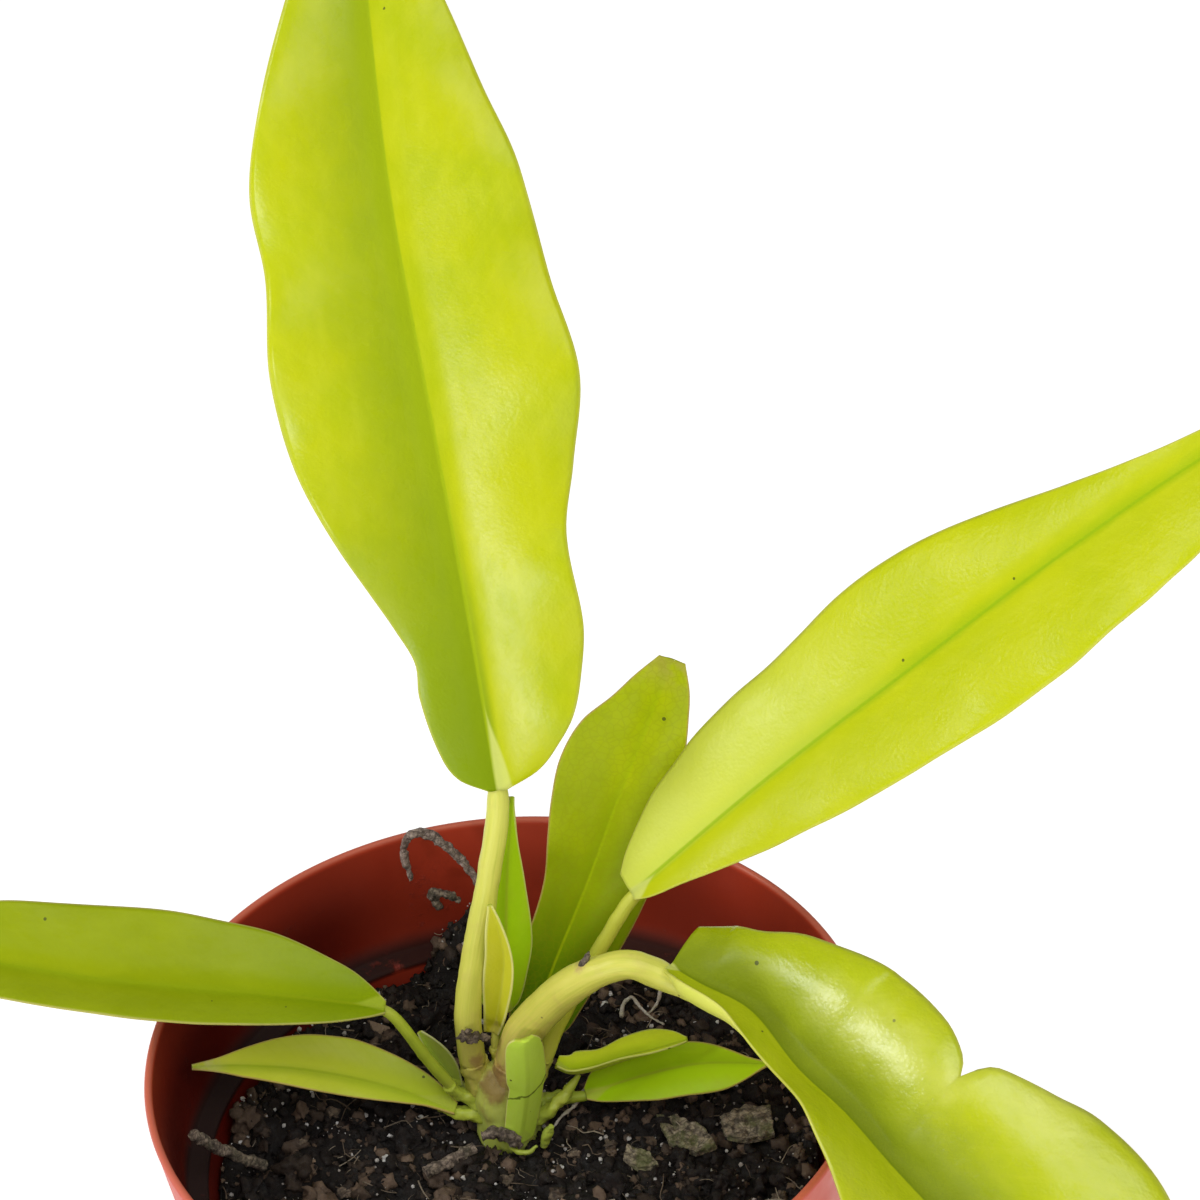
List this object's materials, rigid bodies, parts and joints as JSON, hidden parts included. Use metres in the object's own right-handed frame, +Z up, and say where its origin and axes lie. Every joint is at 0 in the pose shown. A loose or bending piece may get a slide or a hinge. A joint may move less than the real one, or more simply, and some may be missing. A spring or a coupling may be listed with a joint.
{
  "type": "potted philodendron plant",
  "caption": "Young foliage plant with broad lime leaves on arching stalks, growing from one crown in a soil-filled round nursery pot.",
  "frame": {"origin": "middle of the pot's flat underside, on the pot's axis", "axes": "+Z up along the pot's axis; +X to the right and +Y away from the viewer, seen from the front of the picture, with the tall leaf a little left of the middle"},
  "size_m": [0.2158, 0.1532, 0.2468],
  "materials": {
    "terracotta_plastic": "satin",
    "soil": "matte",
    "leaf_lime": "gloss",
    "leaf_green": "satin",
    "leaf_curled": "satin",
    "sheath": "satin",
    "stub_green": "matte",
    "crown_green": "satin",
    "bark": "matte",
    "twig": "matte",
    "root": "matte"
  },
  "bodies": {
    "root": {"pot": "terracotta_plastic", "soil": "soil", "leaf_upright": "leaf_lime", "leaf_right": "leaf_lime", "leaf_drooping": "leaf_lime", "leaf_left": "leaf_green", "leaf_low_left": "leaf_green", "leaf_cupped": "leaf_curled", "leaf_low_right": "leaf_green", "leaf_back": "leaf_green", "leaf_slender": "leaf_green", "sheath_tall": "sheath", "sheath_left": "sheath", "stub_torn": "stub_green", "crown": "crown_green", "bark_chip_middle": "bark", "bark_chip_right": "bark", "bark_chip_front": "bark", "twig_crown": "twig", "twig_wall": "twig", "dry_root": "root"}
  },
  "joints": []
}
